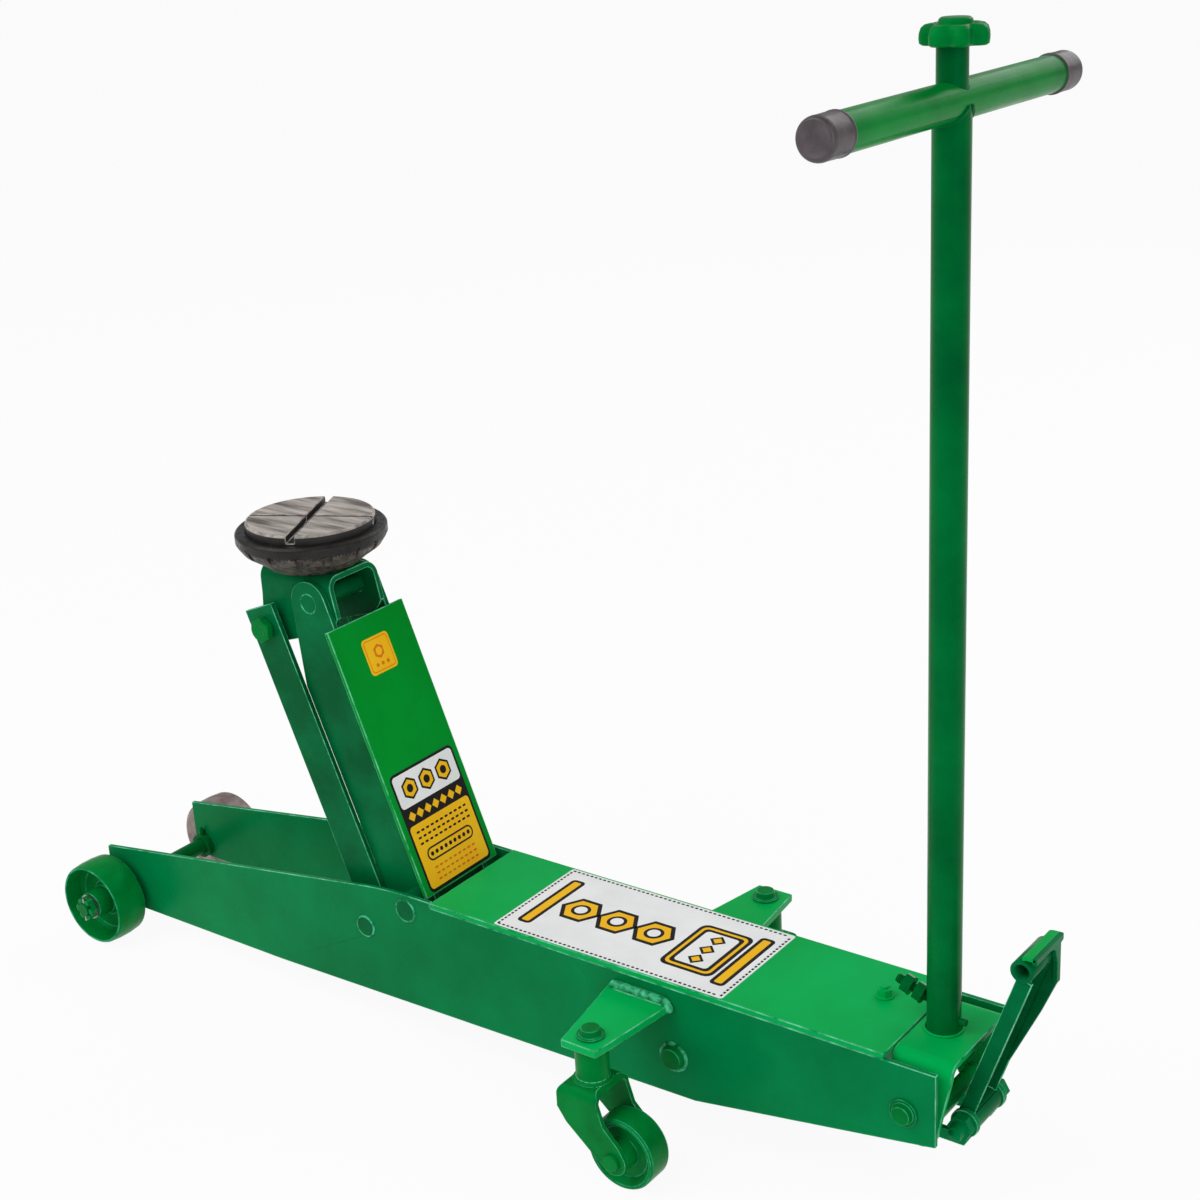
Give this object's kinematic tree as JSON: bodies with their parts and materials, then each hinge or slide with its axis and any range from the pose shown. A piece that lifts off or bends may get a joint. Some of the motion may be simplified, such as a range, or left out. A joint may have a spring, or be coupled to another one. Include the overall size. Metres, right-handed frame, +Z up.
{
  "type": "trolley jack",
  "caption": "Raised long-chassis hydraulic trolley jack with round padded saddle, upright T handle, foot pedal and two rear casters",
  "frame": {"origin": "on the floor, under the middle of the jack's outline", "axes": "X from the lifting end (negative) to the handle end (positive), Z up, Y across, left side negative"},
  "size_m": [1.2162, 0.42, 1.0696],
  "materials": {
    "green_enamel": "gloss green enamel",
    "cover_enamel": "gloss green enamel, brighter on the flat covers",
    "wheel_enamel": "cast iron under gloss green enamel",
    "bare_steel": "turned steel",
    "polished_steel": "ground and polished steel",
    "dark_iron": "rough dark casting",
    "pad_rubber": "matt black rubber",
    "cap_plastic": "dark moulded plastic"
  },
  "bodies": {
    "chassis": {"side_plate_left": "green_enamel", "side_plate_right": "green_enamel", "top_cover": "cover_enamel", "front_axle": "green_enamel", "axle_collars": "green_enamel", "axle_washers": "bare_steel", "axle_nuts": "green_enamel", "split_pins": "bare_steel", "arm_pivot_shaft": "green_enamel", "link_pins": "green_enamel", "caster_bracket_left": "green_enamel", "caster_bracket_right": "green_enamel", "king_bolts": "green_enamel", "pump_block": "green_enamel", "reservoir": "green_enamel", "cylinder": "bare_steel", "gland_nut": "bare_steel", "unit_bolts": "green_enamel", "filler_plug": "cap_plastic", "pump_barrel": "bare_steel", "rear_cross_plate": "green_enamel", "yoke_bolts": "green_enamel", "yoke_washers": "bare_steel", "cover_stud": "green_enamel", "pedal_bolt": "green_enamel", "plunger_spring": "polished_steel"},
    "front_wheel_left": {"front_wheel_left": "wheel_enamel"},
    "front_wheel_right": {"front_wheel_right": "wheel_enamel"},
    "caster_left": {"caster_fork_left": "green_enamel", "caster_axle_left": "green_enamel"},
    "caster_right": {"caster_fork_right": "green_enamel", "caster_axle_right": "green_enamel"},
    "caster_wheel_left": {"caster_wheel_left": "wheel_enamel"},
    "caster_wheel_right": {"caster_wheel_right": "wheel_enamel"},
    "lift_arm": {"arm_cheek_left": "green_enamel", "arm_cheek_right": "green_enamel", "arm_cover": "cover_enamel", "crank_pin": "bare_steel", "head_pin": "green_enamel"},
    "crank_roller": {"crank_roller": "bare_steel"},
    "parallel_links": {"link_left": "green_enamel", "link_right": "green_enamel"},
    "saddle_head": {"saddle_head": "green_enamel", "link_bolts": "green_enamel"},
    "saddle": {"saddle_cup": "dark_iron", "saddle_pad": "pad_rubber"},
    "ram": {"ram": "polished_steel", "ram_head": "dark_iron"},
    "handle": {"handle_yoke": "green_enamel", "handle_tube": "green_enamel", "handle_bar": "green_enamel", "bar_caps": "cap_plastic", "lock_bolt": "green_enamel", "lock_nuts": "green_enamel"},
    "release": {"release_rod": "green_enamel", "release_knob": "green_enamel"},
    "pedal": {"pedal_arm": "green_enamel", "pedal_pad": "green_enamel"},
    "plunger": {"pump_plunger": "polished_steel"},
    "push_rod": {"release_push_rod": "polished_steel"}
  },
  "joints": [
    {"name": "front_wheel_left_spin", "type": "hinge", "parent": "chassis", "child": "front_wheel_left", "pos_m": [-0.55807, -0.0975, 0.05], "axis": [0, 1, 0], "continuous": true},
    {"name": "front_wheel_right_spin", "type": "hinge", "parent": "chassis", "child": "front_wheel_right", "pos_m": [-0.55807, 0.0975, 0.05], "axis": [0, 1, 0], "continuous": true},
    {"name": "caster_left_swivel", "type": "hinge", "parent": "chassis", "child": "caster_left", "pos_m": [0.21443, -0.156, 0.12], "axis": [0, 0, 1], "continuous": true},
    {"name": "caster_right_swivel", "type": "hinge", "parent": "chassis", "child": "caster_right", "pos_m": [0.21443, 0.156, 0.12], "axis": [0, 0, 1], "continuous": true},
    {"name": "caster_wheel_left_spin", "type": "hinge", "parent": "caster_left", "child": "caster_wheel_left", "pos_m": [0.25244, -0.156, 0.0375], "axis": [0, 1, 0], "continuous": true},
    {"name": "caster_wheel_right_spin", "type": "hinge", "parent": "caster_right", "child": "caster_wheel_right", "pos_m": [0.25244, 0.156, 0.0375], "axis": [0, 1, 0], "continuous": true},
    {"name": "arm_lift", "type": "hinge", "parent": "chassis", "child": "lift_arm", "pos_m": [-0.09306, 0, 0.1537], "axis": [0, -1, 0], "range_deg": [0, 79]},
    {"name": "link_swing", "type": "hinge", "parent": "chassis", "child": "parallel_links", "pos_m": [-0.15407, 0, 0.1172], "axis": [0, -1, 0], "range_deg": [0, 79]},
    {"name": "head_tilt", "type": "hinge", "parent": "lift_arm", "child": "saddle_head", "pos_m": [-0.21823, 0, 0.46982], "axis": [0, -1, 0], "range_deg": [-79, 0]},
    {"name": "saddle_turn", "type": "hinge", "parent": "saddle_head", "child": "saddle", "pos_m": [-0.24615, 0, 0.50002], "axis": [0, 0, 1], "continuous": true},
    {"name": "crank_roller_spin", "type": "hinge", "parent": "lift_arm", "child": "crank_roller", "pos_m": [-0.13759, 0, 0.09969], "axis": [0, 1, 0], "continuous": true},
    {"name": "ram_slide", "type": "slide", "parent": "chassis", "child": "ram", "axis": [1, 0, 0], "range_m": [0, 0.093]},
    {"name": "handle_tilt", "type": "hinge", "parent": "chassis", "child": "handle", "pos_m": [0.50194, 0, 0.1177], "axis": [0, 1, 0], "range_deg": [0, 45]},
    {"name": "pedal_swing", "type": "hinge", "parent": "chassis", "child": "pedal", "pos_m": [0.54193, 0, 0.096], "axis": [0, 1, 0], "range_deg": [0, 45]},
    {"name": "plunger_slide", "type": "slide", "parent": "chassis", "child": "plunger", "axis": [-1, 0, 0], "range_m": [0, 0.019], "deforming": ["plunger_spring"]},
    {"name": "release_turn", "type": "hinge", "parent": "handle", "child": "release", "pos_m": [0.50543, 0, 0.6], "axis": [0, 0, 1], "range_deg": [0, 130]},
    {"name": "push_rod_slide", "type": "slide", "parent": "chassis", "child": "push_rod", "axis": [-1, 0, 0], "range_m": [0, 0.00495]}
  ],
  "couplings": [
    {"joint": "link_swing", "follows": "arm_lift", "ratio": 1},
    {"joint": "head_tilt", "follows": "arm_lift", "ratio": -1},
    {"joint": "ram_slide", "follows": "arm_lift", "m_per_rad": 0.06594},
    {"joint": "pedal_swing", "follows": "handle_tilt", "ratio": 1},
    {"joint": "plunger_slide", "follows": "handle_tilt", "m_per_rad": 0.0236},
    {"joint": "release_turn", "follows": "push_rod_slide", "rad_per_m": 458.3}
  ]
}
